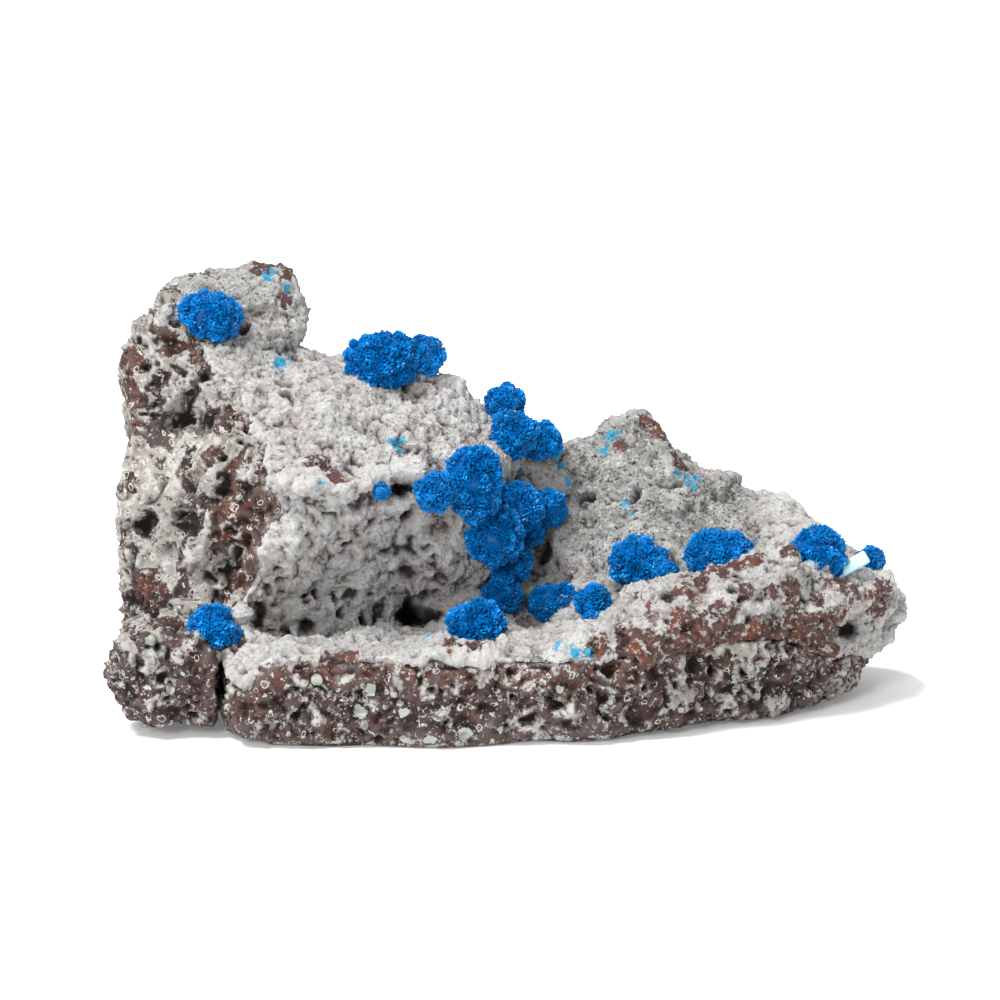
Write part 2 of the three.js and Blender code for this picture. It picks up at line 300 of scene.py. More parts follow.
basalt_hidden = hidden_points(basalt, crust_tree) | (points_of(basalt)[:, 2] < UNDERSIDE)
crust_hidden = hidden_points(crust, basalt_tree)
print("basalt points:", len(basalt_hidden), "hidden:", int(basalt_hidden.sum()))
print("crust points:", len(crust_hidden), "hidden:", int(crust_hidden.sum()))

# %% Thinning and softening
HIDDEN_KEPT = 0.12
HIDDEN_WEIGHT = 10
OPEN_ROUNDS = 4


def thin_hidden_side(piece, hidden):
    share = 1 - (1 - HIDDEN_KEPT) * hidden.mean()
    group = piece.vertex_groups.new(name="hidden")
    group.add([int(i) for i in np.flatnonzero(hidden)], 1.0, "REPLACE")
    thinner = piece.modifiers.new("Thinner", "DECIMATE")
    thinner.ratio = share
    thinner.vertex_group = group.name
    thinner.vertex_group_factor = HIDDEN_WEIGHT
    apply_modifiers(piece)
    piece.vertex_groups.remove(piece.vertex_groups["hidden"])


def soften_mask(piece, values, rounds):
    """Spreads a value at the points along the edges, so that relief fades out at the border of a region."""
    edges = np.empty(len(piece.data.edges) * 2, np.int64)
    piece.data.edges.foreach_get("vertices", edges)
    a, b = edges.reshape(-1, 2).T
    count = np.bincount(a, minlength=len(values)) + np.bincount(b, minlength=len(values))
    for _ in range(rounds):
        total = np.bincount(a, values[b], len(values)) + np.bincount(b, values[a], len(values))
        values = total / np.maximum(count, 1)
    return values


def open_side(piece, neighbour_tree, low, high):
    """1 where the piece shows and 0 where the neighbour covers it, with a soft border."""
    shown = 1 - hidden_points(piece, neighbour_tree).astype(float)
    return ramp(soften_mask(piece, shown, OPEN_ROUNDS), low, high)


# %% [markdown]
# The camera, and places seen from it
#
# The photograph was taken from the front, looking a little down, from far enough that near and far parts
# keep their size, and the camera stands so. The same view tells where a feature lies on the object: the
# line of sight through its pixel meets the solid, and the feature is set around that point in 3-D.

# %% Camera
CAMERA_DISTANCE = 900 * MM
CAMERA_ELEVATION = math.radians(12)
PHOTO_WIDTH = 175 * MM
PHOTO_PIXELS = 1000
CAMERA_TARGET = Vector((-1.99, -0.17, 35.5)) * MM
camera_data = bpy.data.cameras.new("camera")
camera_data.sensor_width = 36
camera_data.lens = camera_data.sensor_width * CAMERA_DISTANCE / PHOTO_WIDTH
camera_data.clip_end = 10
camera = new_object("camera", camera_data)
sight = Vector((0, math.cos(CAMERA_ELEVATION), -math.sin(CAMERA_ELEVATION)))
sight_up = Vector((0, math.sin(CAMERA_ELEVATION), math.cos(CAMERA_ELEVATION)))
camera.location = CAMERA_TARGET - CAMERA_DISTANCE * sight
camera.rotation_euler = sight.to_track_quat("-Z", "Y").to_euler()
bpy.context.scene.camera = camera
print("lens, mm:", round(camera_data.lens, 1))

# %% Features at places of the photograph
# A dent goes inwards along the line of sight, and leans half as much against the surface's normal.
DENT_UNEVEN = 0.45
DENT_UNEVEN_SIZE = 2.4
DENT_BORDER = (0.35, 1.1)
DENT_LEAN = 0.5


def seen_at(column, row):
    """The point, in mm, and the normal of the solid that the photograph shows at a pixel."""
    pixel = PHOTO_WIDTH / PHOTO_PIXELS
    across = Vector((1, 0, 0)) * (column - PHOTO_PIXELS / 2) * pixel
    aim = CAMERA_TARGET + across + sight_up * (PHOTO_PIXELS / 2 - row) * pixel
    line = (aim - camera.location).normalized()
    hits = [tree.ray_cast(camera.location, line) for tree in (basalt_tree, crust_tree)]
    hits = [hit for hit in hits if hit[0] is not None]
    if not hits:
        return None, None
    nearest = min(hits, key=lambda hit: hit[3])
    return np.array(nearest[0]) / MM, np.array(nearest[1])


def dents_at(points, dents):
    """Total move, in mm, of the points under dents given as column, row, radius and depth."""
    move = np.zeros((len(points), 3))
    uneven = DENT_UNEVEN * noise_at(points, DENT_UNEVEN_SIZE, seed=93)
    for column, row, radius, depth in dents:
        centre, normal = seen_at(column, row)
        if centre is None:
            continue
        share = 1 - ramp(np.linalg.norm(points - centre, axis=1) / radius + uneven, *DENT_BORDER)
        inward = np.array(sight) - DENT_LEAN * normal
        move += depth * share[:, None] * inward / np.linalg.norm(inward)
    return move


def spots_at(points, spots):
    """1 at the heart of each spot, given as column, row and radius, and 0.5 at its border."""
    field = np.zeros(len(points))
    for column, row, radius in spots:
        centre, _ = seen_at(column, row)
        if centre is None:
            continue
        field = np.maximum(field, 1 - 0.5 * np.linalg.norm(points - centre, axis=1) / radius)
    return field


print("the middle of the photograph shows:", seen_at(500, 560)[0])

# %% [markdown]
# Broken basalt
#
# Basalt breaks into dull facets a few millimetres wide with a rough grain. Sharp ridges of noise make the
# facets and the grain, scattered cells make the gas bubbles, and remnants of the crust stand up as thin
# pale patches, thickest on the left face.

# %% Holes, veins and broken spots
# Each place is a column and a row of the photograph and a radius in mm. A hole has its depth in mm as well.
# The crust is painted dark in the deep holes, as painted shade, and the basalt has no pale patches at the
# broken spots.
HOLES = [
    (184, 417, 3.2, 2.4), (205, 421, 2.6, 2), (224, 486, 2.2, 1.8), (143, 526, 2.8, 2),
    (186, 520, 3, 2.2), (223, 568, 3.4, 2.6), (246, 541, 1.6, 1.6), (190, 398, 1.8, 1.2),
    (402, 484, 2.2, 2.2), (406, 613, 3.4, 8), (368, 626, 2.4, 2.2), (306, 628, 2, 3),
    (257, 612, 2.2, 3), (268, 592, 1.1, 1.3), (283, 590, 1.1, 1.3), (290, 637, 1.6, 1.8),
    (352, 594, 1.4, 1.6), (416, 566, 4.6, 1.8), (395, 552, 2, 1.6), (440, 578, 2.2, 2),
    (422, 592, 2, 1.6), (405, 576, 2.2, 1.4), (425, 618, 3.2, 8), (440, 622, 2.2, 4),
    (380, 612, 2.2, 2.2), (390, 489, 1.6, 3), (402, 486, 1.9, 4.5), (415, 485, 1.8, 4),
    (330, 532, 6.5, 1.2), (375, 530, 7, 1.5), (425, 522, 6.5, 1.2), (587, 501, 2.2, 1.6),
    (548, 555, 2.6, 2.6), (846, 629, 2.6, 2.4), (700, 588, 1.8, 1.4), (735, 580, 1.6, 1.2),
    (668, 600, 1.6, 1.2), (760, 598, 1.5, 1.2),
]
VEINS = [
    (217, 652, 0.8), (217, 668, 0.7), (216, 684, 0.8), (216, 700, 0.7), (217, 716, 0.8), (229, 655, 0.8),
    (229, 672, 0.7), (230, 690, 0.8), (230, 708, 0.7), (680, 662, 0.6), (681, 673, 0.5), (682, 684, 0.6),
    (683, 696, 0.6), (685, 708, 0.7), (735, 652, 0.5), (736, 664, 0.6), (736, 676, 0.5), (737, 688, 0.6),
]
DEEP_HOLES = [
    (406, 613, 3.2), (425, 618, 3), (440, 622, 2), (394, 488, 1.1), (403, 487, 1.4), (412, 486, 1.2),
    (200, 620, 1.6), (257, 626, 1.4), (285, 629, 1.2), (345, 594, 0.9), (368, 592, 0.8), (548, 555, 1.8),
    (846, 629, 1.6),
]
BROKEN_SPOTS = [
    (132, 300, 2.8), (127, 330, 3), (131, 362, 3.2), (128, 396, 3), (132, 428, 2.4), (238, 476, 3),
    (230, 508, 3), (222, 540, 2.4), (214, 456, 1.8), (160, 312, 2.4), (150, 285, 2), (202, 350, 4),
    (226, 356, 4), (248, 364, 3.6), (268, 374, 3), (262, 425, 3), (268, 462, 3.4), (262, 500, 4),
    (254, 536, 3.6), (168, 345, 2.4), (240, 575, 3), (150, 590, 4), (165, 625, 3),
]
print("holes:", len(HOLES), "vein spots:", len(VEINS), "broken spots:", len(BROKEN_SPOTS))

# %% Sizes of the basalt's relief
FACET_SIZE = 8
FACET_DEPTH = 0.8
GRAIN_SIZES_DEPTHS = [(3.4, 0.85), (1.9, 0.55), (1.15, 0.4)]
VESICLE_SPACING = 3.6
VESICLE_DEPTH = 1.5
PATCH_SIZE = 4.6
PATCH_HEIGHT = 0.5
SOLID_PATCH = 0.1
PATCH_COMMON = -0.42
PATCH_ON_LEFT = 0.6
PATCH_ON_RIDGE = 0.55
PATCH_ON_SLAB = -0.22

# A region is a box: its low corner, its high corner and half the width of its soft border, all in mm.
LEFT_FACE = ((-80, -60, 15), (-33, 30, 90), 4)
RIDGE_FACE = ((18, -40, 12), (80, 0, 40), 4)
SLAB_FRONT = ((-80, -60, -5), (80, -17, 13), 3)


def relief_sum(points, sizes_depths, seed):
    total = np.zeros(len(points))
    for level, (size, depth) in enumerate(sizes_depths):
        total += depth * (0.45 - 1.7 * np.abs(noise_at(points, size, seed + 11 * level)))
    return total


def box_mask(points, low, high, fade):
    """1 inside a box and 0 beyond it, with a soft border, for a region of the surface."""
    gap = np.maximum(np.array(low) - points, points - np.array(high))
    return 1 - ramp(np.max(gap, axis=1), -fade, fade)


# %% Patches of crust on the basalt
thin_hidden_side(basalt, basalt_hidden)
basalt_points = points_of(basalt)
basalt_normals = normals_of(basalt)
basalt_open = open_side(basalt, crust_tree, 0.05, 0.6)
basalt_foot = ramp(basalt_points[:, 2], 0.3, 2.2)
basalt_warped = warp(basalt_points, 4, 1.8, 3)
patch_bias = PATCH_COMMON + PATCH_ON_LEFT * box_mask(basalt_points, *LEFT_FACE)
patch_bias += PATCH_ON_RIDGE * box_mask(basalt_points, *RIDGE_FACE)
patch_bias += PATCH_ON_SLAB * box_mask(basalt_points, *SLAB_FRONT)
patch_height = noise_at(basalt_warped, PATCH_SIZE, 31) + 0.6 * noise_at(basalt_warped, 2.1, 33) + patch_bias
broken_spots = spots_at(basalt_points, BROKEN_SPOTS)
patch_height -= 1.3 * ramp(broken_spots + 0.25 * noise_at(basalt_warped, 2.5, 37), 0.42, 0.62)
patch_height = np.maximum(patch_height, spots_at(basalt_points, VEINS) - 0.5)
patch = ramp(patch_height, 0, SOLID_PATCH)
patch_lip = ramp(patch_height, -0.03, 0.03) * (1 - ramp(patch_height, 0.1, 0.2))
print("share under patches:", round(float(patch.mean()), 2))

# %% Relief of the basalt
rough = FACET_DEPTH * (0.4 - 1.6 * np.abs(noise_at(basalt_warped, FACET_SIZE, 5)))
rough += relief_sum(basalt_warped, GRAIN_SIZES_DEPTHS, 9)
bubble_near, _, bubble_own = cells_at(basalt_warped, VESICLE_SPACING, 23)
bubble_size = 0.16 + 0.3 * bubble_own * bubble_own
bubble_edge = bubble_near / bubble_size
bubble_kept = bubble_own > 0.45
bubbles = (1 - ramp(bubble_edge, 0.5, 1.0)) * bubble_kept
bubble_rim = ramp(bubble_edge, 0.75, 1.0) * (1 - ramp(bubble_edge, 1.2, 1.5)) * bubble_kept
basalt_move = rough + PATCH_HEIGHT * (patch + 0.6 * patch_lip) - VESICLE_DEPTH * bubbles * (0.3 + bubble_own)
basalt_move = (basalt_move * basalt_open * basalt_foot)[:, None] * basalt_normals
basalt_move += dents_at(basalt_points, HOLES) * basalt_foot[:, None]
set_points(basalt, basalt_points + basalt_move)
print("basalt triangles:", sum(len(p.vertices) - 2 for p in basalt.data.polygons))

# %% [markdown]
# Drusy crust
#
# The lining grew from hot water onto the walls of the hollow, as round lumps like the head of a
# cauliflower. Noise gives the large swells. Cells at three spacings give the lumps: each bulges at its
# heart and sinks at its border, so dark creases run between them. The crust swells over its border too, so
# it laps onto the basalt in pale lobes. The deep holes are marked before the points move, so that the mark
# reaches their bottom.

# %% Relief of the crust
CRUST_SWELL = 0.4
SWELL_SIZES_DEPTHS = [(9, 1.5), (4.5, 1.1)]
LUMP_SIZES_HEIGHTS = [(3.6, 0.72), (1.9, 0.6), (1.05, 0.45)]
PORE_SPACING = 3.4
PORE_DEPTH = 1.7
SPONGY_REGIONS = [((-45, -45, 14), (-5, -8, 34), 4), ((14, -45, 10), (80, -8, 30), 4)]


def lumps_at(points, spacing, seed):
    near, following, own = cells_at(points, spacing, seed)
    border = np.clip((following - near) / 0.45, 0, 1)
    return np.sqrt(border) * (0.65 + 0.5 * own) - 0.6


thin_hidden_side(crust, crust_hidden)
crust_points = points_of(crust)
crust_normals = normals_of(crust)
crust_open = open_side(crust, basalt_tree, 0.02, 0.5)
crust_warped = warp(crust_points, 6, 1.6, 41)
crust_relief = np.zeros(len(crust_points))
for level, (size, depth) in enumerate(SWELL_SIZES_DEPTHS):
    crust_relief += depth * noise_at(crust_warped, size, 43 + level)
for level, (spacing, height) in enumerate(LUMP_SIZES_HEIGHTS):
    crust_relief += height * lumps_at(warp(crust_points, 2.5, 0.5, 47), spacing, 51 + level)
spongy = np.maximum.reduce([box_mask(crust_points, *region) for region in SPONGY_REGIONS])
pore_near, _, pore_own = cells_at(warp(crust_points, 3, 1.4, 61), PORE_SPACING, 63)
pore_size = 0.2 + 0.26 * pore_own
pores = (1 - ramp(pore_near / pore_size, 0.4, 1.0)) * (pore_own > 0.95 - 0.65 * spongy)
# Painted shade: the crust in the deep holes is coloured dark.
deep_hole_shade = ramp(spots_at(crust_points, DEEP_HOLES), 0.5, 0.68)
crust_move = CRUST_SWELL + (crust_relief - PORE_DEPTH * pores) * crust_open
crust_move = crust_move[:, None] * crust_normals + dents_at(crust_points, HOLES)
set_points(crust, crust_points + crust_move)
print("crust triangles:", sum(len(p.vertices) - 2 for p in crust.data.polygons))

# %% [markdown]
# One blade of cavansite
#
# A cavansite crystal is a thin flat blade with a chisel end. It is modelled once, as a four-sided cone that
# stands on its point: the foot is the point, the shoulder ring is the full width, and the end is extruded
# from the ring and drawn out to an edge. Every ball uses copies of it, ten triangles each.

# %% Arrays from a modelled shape, and back
def taken_apart(piece):
    """The points and faces of a modelled shape, as arrays. The shape itself is removed."""
    points = np.array([tuple(vertex.co) for vertex in piece.data.vertices])
    faces = np.array([tuple(face.vertices) for face in piece.data.polygons])
    bpy.data.objects.remove(piece)
    return points, faces


def copies_of(shape_points, shape_faces, places, x_axes, y_axes, z_axes):
    """One copy of a shape at each place, drawn out along three axes of its own."""
    points = places[:, None] + z_axes[:, None] * shape_points[None, :, 2:3]
    points += x_axes[:, None] * shape_points[None, :, 0:1]
    points += y_axes[:, None] * shape_points[None, :, 1:2]
    faces = shape_faces[None] + len(shape_points) * np.arange(len(places))[:, None, None]
    return points.reshape(-1, 3), faces.reshape(-1, 3)


def piece_from(name, points, faces):
    mesh = bpy.data.meshes.new(name)
    mesh.from_pydata((points * MM).tolist(), [], faces.tolist())
    mesh.update()
    return new_object(name, mesh)


# %% Model the blade
BLADE_SHOULDER = 0.92
BLADE_EDGE = 0.6
bpy.ops.mesh.primitive_cone_add(
    vertices=4, radius1=0, radius2=math.sqrt(0.5), depth=BLADE_SHOULDER, end_fill_type="NGON",
    location=(0, 0, BLADE_SHOULDER / 2), rotation=(0, 0, math.pi / 4))
bpy.ops.object.transform_apply()
blade = bpy.context.object
bpy.ops.object.mode_set(mode="EDIT")
bpy.ops.mesh.select_mode(type="FACE")
bpy.ops.mesh.select_all(action="DESELECT")
blade_mesh = bmesh.from_edit_mesh(blade.data)
blade_mesh.normal_update()
for face in blade_mesh.faces:
    face.select_set(face.normal.z > 0.9)
bmesh.update_edit_mesh(blade.data)
bpy.ops.mesh.extrude_region_move(TRANSFORM_OT_translate={"value": (0, 0, 1 - BLADE_SHOULDER)})
bpy.ops.transform.resize(value=(BLADE_EDGE, 0, 1), center_override=(0, 0, 1))
bpy.ops.mesh.select_all(action="SELECT")
bpy.ops.mesh.remove_doubles(threshold=0.001)
bpy.ops.mesh.quads_convert_to_tris()
bpy.ops.mesh.normals_make_consistent(inside=False)
bpy.ops.object.mode_set(mode="OBJECT")
blade_points, blade_faces = taken_apart(blade)
print("blade:", len(blade_points), "points,", len(blade_faces), "triangles, z", blade_points[:, 2].round(2))

# %% [markdown]
# Balls of blades
#
# In a ball the blades spread from the heart in sheaves, so its outline is scalloped and dark gaps run
# between them. Each ball gets evenly spread directions, each direction joins its nearest sheaf, and the
# blade runs from the sheaf's foot to the surface, shorter towards the sheaf's border. Blades that would end
# deep in the rock are left out. A small deep blue core closes the view to the heart.

# %% Where the balls sit
# Each ball is its centre and its radius, in mm. Balls that have grown into each other are one piece.
BALLS = {
    "niche": [(-53.5, -1.9, 68.7, 4.2), (-50.8, -1.4, 68.0, 4.2)],
    "crown": [(-24.0, 2.2, 59.4, 5.2), (-21.0, 3.4, 59.8, 5.0), (-15.2, 6.8, 60.0, 3.7)],
    "upper_trail": [(-1.1, 8.1, 51.2, 3.6), (0.3, 3.8, 46.3, 4.3), (5.7, 7.8, 44.4, 3.5)],
    "middle_trail": [
        (-6.5, -12.2, 42.4, 5.1), (-6.0, -11.7, 38.0, 4.2), (-13.0, -15.5, 40.2, 3.7),
        (1.3, -1.2, 34.5, 4.4), (2.9, 1.8, 29.7, 3.2), (6.7, 3.6, 33.4, 3.4), (-3.0, -7.7, 30.6, 5.3),
        (-0.6, -2.2, 24.6, 4.3), (-1.7, -3.8, 19.0, 3.6),
    ],
    "floor": [(6.5, -2.7, 17.6, 3.6), (9.5, -2.7, 17.6, 3.6)],
    "fan": [(14.3, -10.7, 19.7, 3.3), (13.9, -14.2, 17.2, 1.9)],
    "ledge": [(-5.9, -22.7, 17.2, 5.6)],
    "ridge_left": [(22.2, -8.7, 25.9, 5.0), (26.3, -12.2, 25.4, 2.8)],
    "ridge_right": [(34.5, -13.2, 28.6, 4.5), (37.5, -13.2, 28.6, 4.3)],
    "end_large": [(53.1, -9.0, 27.7, 4.9)],
    "end_small": [(62.6, -1.0, 24.5, 3.0)],
    "gap": [(-51.2, -23.4, 17.4, 4.7)],
    "bud": [(-22.4, -17.4, 40.8, 1.7)],
}
print("pieces:", len(BALLS), "balls:", sum(len(balls) for balls in BALLS.values()))

# %% Sizes of blades and sheaves
BLADE_WIDTH = 0.56
BLADE_THICKNESS = 0.27
BLADES_PER_MM2 = 5.2
SHEAF_AREA = 5.5
SHEAF_FOOT = 0.38
CORE_SHARE = 0.76
CORE_ROUGHNESS = 0.035
MEETING_SHARE = 0.7
BALL_GROWTH = 1.05
BURIED_DEPTH = 1.5
FEWEST_SHEAVES = 12
DIRECTION_JITTER = 0.035
SHEAF_JITTER = 0.22
SHEAF_LENGTHS = (0.93, 1.05)
BLADE_REACH = 1.03
BORDER_SHORTER = 0.12
REACH_JITTER = 0.022
ROLL_JITTER = 0.55
SHEAF_TONE = 0.6
BLADE_TONE = 0.4
WIDTH_RANGE = (0.6, 1.25)
THICKNESS_RANGE = (0.7, 1.6)
random_source = np.random.default_rng(17)


def even_directions(count):
    step = np.arange(count) + 0.5
    height = 1 - 2 * step / count
    turn = step * math.pi * (3 - math.sqrt(5))
    flat = np.sqrt(1 - height * height)
    return np.stack([flat * np.cos(turn), flat * np.sin(turn), height], 1)


def unit(vectors):
    return vectors / np.linalg.norm(vectors, axis=1, keepdims=True)


def depth_in_rock(point):
    deepest = -9.0
    for tree in (basalt_tree, crust_tree):
        place, normal, _, _ = tree.find_nearest(Vector(point) * MM)
        deepest = max(deepest, -(Vector(point) * MM - place).dot(normal) / MM)
    return deepest


bpy.ops.mesh.primitive_ico_sphere_add(subdivisions=3, radius=1)
core_points, core_faces = taken_apart(bpy.context.object)


# %% Blades of one ball
def blades_of(centre, radius, others):
    """Ends, feet, roll, tone and distance from the sheaf's heart, for each blade of a ball."""
    count = int(BLADES_PER_MM2 * 4 * math.pi * radius * radius)
    directions = unit(even_directions(count) + random_source.normal(0, DIRECTION_JITTER, (count, 3)))
    sheaves = max(FEWEST_SHEAVES, int(4 * math.pi * radius * radius / SHEAF_AREA))
    hearts = unit(even_directions(sheaves) + random_source.normal(0, SHEAF_JITTER, (sheaves, 3)))
    sheaf_length = random_source.uniform(*SHEAF_LENGTHS, sheaves)
    closeness = directions @ hearts.T
    nearest = np.argmax(closeness, axis=1)
    spread = np.arccos(np.clip(np.max(closeness, axis=1), -1, 1)) / math.sqrt(4 / sheaves)
    reach = BLADE_REACH - BORDER_SHORTER * spread ** 2 + random_source.normal(0, REACH_JITTER, count)
    reach = sheaf_length[nearest] * reach
    ends = centre + directions * (radius * reach)[:, None]
    feet = centre + hearts[nearest] * radius * SHEAF_FOOT
    keep = np.array([depth_in_rock(end) < BURIED_DEPTH for end in ends])
    for other_centre, other_radius in others:
        keep &= np.linalg.norm(ends - other_centre, axis=1) > other_radius * MEETING_SHARE
    sheaf_roll = random_source.normal(0, 1, (sheaves, 3))
    roll = sheaf_roll[nearest] + random_source.normal(0, ROLL_JITTER, (count, 3))
    tone = SHEAF_TONE * random_source.random(sheaves)[nearest] + BLADE_TONE * random_source.random(count)
    return ends[keep], feet[keep], roll[keep], tone[keep], spread[keep]


# %% Balls of blades
def rosette(name):
    points, faces, tips, tones = [], [], [], []
    first = 0
    balls = [(np.array(ball[:3]), ball[3] * BALL_GROWTH) for ball in BALLS[name]]
    for centre, radius in balls:
        others = [ball for ball in balls if ball[0] is not centre]
        ends, feet, roll, tone, spread = blades_of(centre, radius, others)
        along = ends - feet
        across = unit(np.cross(along, roll))
        normal = unit(np.cross(along, across))
        width = BLADE_WIDTH * random_source.uniform(*WIDTH_RANGE, len(ends)) * min(1, 0.55 + radius / 9)
        thick = BLADE_THICKNESS * random_source.uniform(*THICKNESS_RANGE, len(ends))
        widths, depths = across * width[:, None], normal * thick[:, None]
        placed, placed_faces = copies_of(blade_points, blade_faces, feet, widths, depths, along)
        points.append(placed)
        faces.append(placed_faces + first)
        first += len(placed)
        # The tip value is lower towards a sheaf's border, so blades in the gaps between sheaves stay darker:
        # painted shade.
        border = np.clip(1 - spread ** 2, 0, 1)[:, None]
        tips.append((np.tile(blade_points[:, 2], (len(ends), 1)) * (0.55 + 0.45 * border)).reshape(-1))
        tones.append(np.repeat(tone, len(blade_points)))
        bumps = random_source.normal(1, CORE_ROUGHNESS, (len(core_points), 1))
        points.append(centre + core_points * bumps * radius * CORE_SHARE)
        faces.append(core_faces + first)
        first += len(core_points)
        tips.append(np.zeros(len(core_points)))
        tones.append(np.zeros(len(core_points)))
    piece = piece_from("blades_" + name, np.concatenate(points), np.concatenate(faces))
    set_mask(piece, "tip", np.concatenate(tips))
    set_mask(piece, "tone", np.concatenate(tones))
    return piece


rosettes = {"cavansite_" + name: rosette(name) for name in BALLS}
for name, piece in rosettes.items():
    print(name, len(piece.data.polygons))

# %% [markdown]
# Masks for the colours
#
# The crust is palest at its broken lip, the basalt rusty where it touches the crust, bubbles have a pale
# lining, and hollows are darkened as painted shade. These follow the shape, so they are worked out from it
# and stored on the points. Some stains and mineral spots are only colour, and their masks are set where they
# are seen.

# %% Filled bubbles, bare spots and blue smears
# Columns and rows of the photograph, with a radius in mm. Amygdules are bubbles filled with pale mineral.
AMYGDULES = [
    (245, 683, 1.5), (317, 680, 1), (370, 690, 1.2), (360, 712, 1.3), (405, 712, 1.1), (430, 740, 1.2),
    (465, 735, 1.3), (500, 730, 0.9), (790, 640, 1.2), (755, 670, 0.9), (680, 690, 0.7), (680, 700, 0.7),
    (681, 710, 0.7), (735, 672, 0.6), (734, 682, 0.6), (735, 692, 0.6), (150, 640, 1), (170, 690, 0.9),
    (560, 690, 0.8), (610, 700, 0.9), (300, 715, 0.8),
]
BARE_SPOTS = [
    (621, 446, 1.5), (692, 488, 1.2), (634, 512, 0.8), (735, 563, 2), (755, 558, 1.8), (790, 552, 1.8),
    (700, 578, 1.8), (680, 622, 2.6), (745, 590, 1.6), (772, 592, 1.6), (818, 600, 1.6), (653, 424, 2.4),
    (661, 436, 2.6), (669, 449, 2.8), (679, 463, 2.4), (176, 277, 3.4), (200, 277, 2.2), (236, 267, 2.6),
    (262, 266, 2.4), (284, 270, 2.4), (318, 470, 2.6), (336, 478, 2), (365, 499, 1.6), (450, 646, 2.2),
    (475, 650, 2.4), (600, 648, 2.4), (632, 645, 2.4), (345, 655, 2.4), (330, 662, 2), (720, 572, 2),
    (880, 600, 3.5), (890, 585, 2.5), (285, 300, 1.5),
]
SMEARS = [
    (613, 438, 1.3), (606, 452, 1), (619, 432, 0.8), (686, 483, 1.8), (676, 476, 1.1), (697, 480, 0.9),
    (627, 503, 1.1), (631, 512, 0.7), (558, 466, 1.2), (566, 482, 0.9), (398, 446, 1.4), (390, 440, 0.8),
    (380, 470, 1), (280, 362, 1.4), (290, 356, 0.9), (168, 300, 1.4), (270, 276, 1.3), (286, 288, 0.9),
    (318, 482, 1), (575, 652, 1.3), (560, 646, 1), (590, 654, 0.9), (430, 640, 1), (520, 470, 1),
]
print("filled bubbles:", len(AMYGDULES), "bare spots:", len(BARE_SPOTS), "smears:", len(SMEARS))

# %% Nearness and hollows
LIP_REACH = 1.6
LINING_REACH = 1.2
RUST_REACH = 7.0
TARGET_STEP = 3
CAVITY_ROUNDS = 16


def nearness(points, targets, reach):
    """1 at the targets and 0 farther from them than the reach, in mm. Every third target is enough."""
    targets = targets[::TARGET_STEP]
    tree = KDTree(len(targets))
    for i, target in enumerate(targets):
        tree.insert(target, i)
    tree.balance()
    distance = np.array([tree.find(point)[2] for point in points])
    return 1 - ramp(distance, 0, reach)


def cavities(piece):
    """How far each point lies under its smoothed surroundings."""
    points = points_of(piece)
    smooth = np.stack([soften_mask(piece, points[:, axis], CAVITY_ROUNDS) for axis in range(3)], 1)
    return np.sum((smooth - points) * normals_of(piece), axis=1)


basalt_points = points_of(basalt)
crust_points = points_of(crust)
crust_seen = crust_points[crust_open > 0.5]
basalt_seen = basalt_points[basalt_open > 0.5]

# %% Masks on the basalt
rust = nearness(basalt_points, crust_seen, RUST_REACH)
rust = np.maximum(rust, 1.4 * ramp(broken_spots, 0.4, 0.7))
basalt_lip = 0.9 * nearness(basalt_points, crust_seen, LINING_REACH)
basalt_cavity = cavities(basalt)
# Hollows get a mask of painted shade, which the finish colours nearly black.
basalt_masks = {
    "rust": rust * (0.75 + 0.6 * noise_at(basalt_points, 9, 81)),
    "lining": np.maximum.reduce([bubble_rim, patch_lip, basalt_lip]),
    "patch": 0.5 + 0.8 * patch_height,
    "spot": spots_at(basalt_points, AMYGDULES),
    "cavity_shade": ramp(basalt_cavity, 0.03, 0.4),
    "edge": ramp(-basalt_cavity, 0.05, 0.4),
}
for name, values in basalt_masks.items():
    set_mask(basalt, name, values)
print("rusty share:", round(float(rust.mean()), 2))

# %% Masks on the crust
RIDGE_FRONT = ((17, -45, 9), (80, -10, 27), 3)
RIDGE_FOOT = ((17, -45, 9), (60, -14, 20), 1.6)
RIDGE_BARE = 0.46
FOOT_BARE = 0.76
HILL = ((8, -12, 22), (44, 40, 70), 5)
TOP_CHUNK = ((-70, -30, 61), (-30, 30, 90), 3)
HOLLOW_FOOT = ((-50, -22, 12), (6, 0, 30), 4)
SHADE_AND_DARK_GREY_REGIONS = [(HILL, 1.0), (TOP_CHUNK, 0.65), (HOLLOW_FOOT, 0.5)]
SPONGY_SHADE_AND_GREY = 0.3
lip = nearness(crust_points, basalt_seen, LIP_REACH)
ridge_bare = RIDGE_BARE + 0.6 * noise_at(crust_warped, 5.5, 91)
bare = np.maximum.reduce([
    spots_at(crust_points, BARE_SPOTS),
    FOOT_BARE * box_mask(crust_points, *RIDGE_FOOT),
    ridge_bare * box_mask(crust_points, *RIDGE_FRONT),
])
# These regions are darkened, partly a darker grey of the crust and partly painted shade.
shade_and_dark_grey = SPONGY_SHADE_AND_GREY * spongy
for region, share in SHADE_AND_DARK_GREY_REGIONS:
    shade_and_dark_grey = np.maximum(shade_and_dark_grey, share * box_mask(crust_points, *region))
crust_cavity = cavities(crust)
# Pits and deep holes get a mask of painted shade.
crust_masks = {
    "lip": lip,
    "bare": bare,
    "smear": spots_at(crust_points, SMEARS),
    "shade_and_dark_grey": shade_and_dark_grey,
    "cavity_shade": np.maximum(ramp(crust_cavity, 0.06, 0.6), deep_hole_shade),
    "edge": ramp(-crust_cavity, 0.05, 0.35),
}
for name, values in crust_masks.items():
    set_mask(crust, name, values)
print("lip share:", round(float(lip.mean()), 2), "bare share:", round(float((bare > 0.5).mean()), 2))

# %% [markdown]
# Druse crystals
#
# The crust glitters because its skin is tiny crystals. One four-sided point is modelled, and copies of it
# stand on the open crust, each leaning its own way and sunk a little. They carry the masks of their place,
# so that the same finish colours them.

